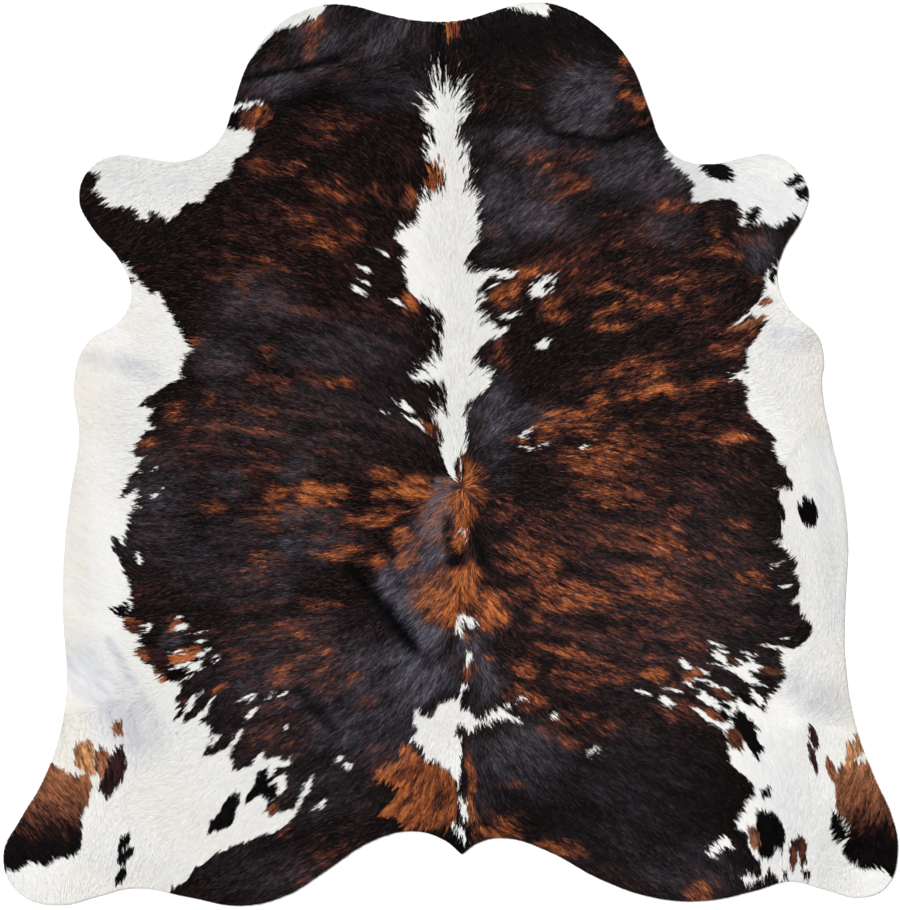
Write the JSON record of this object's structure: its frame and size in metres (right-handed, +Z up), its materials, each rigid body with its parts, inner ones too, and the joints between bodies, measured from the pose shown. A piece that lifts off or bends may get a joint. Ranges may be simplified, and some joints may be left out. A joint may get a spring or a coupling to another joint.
{
  "type": "cowhide rug",
  "caption": "Whole hair-on cowhide laid flat as a rug, with its leg, neck and tail lobes and a few low buckles; dark brindle coat with white flanks and spine.",
  "frame": {"origin": "middle of the hide's bounding box, on the floor plane under it", "axes": "+Z up through the hair side, +Y along the spine towards the neck, +X to the right seen from above"},
  "size_m": [2.0004, 2.021, 0.0169],
  "materials": {
    "coat": "short glossy hair combed flat from the spine outwards, near black and rust brindle with white patches",
    "suede": "matt split suede, the flesh side of the hide"
  },
  "bodies": {
    "root": {"hide": "coat"}
  },
  "joints": []
}
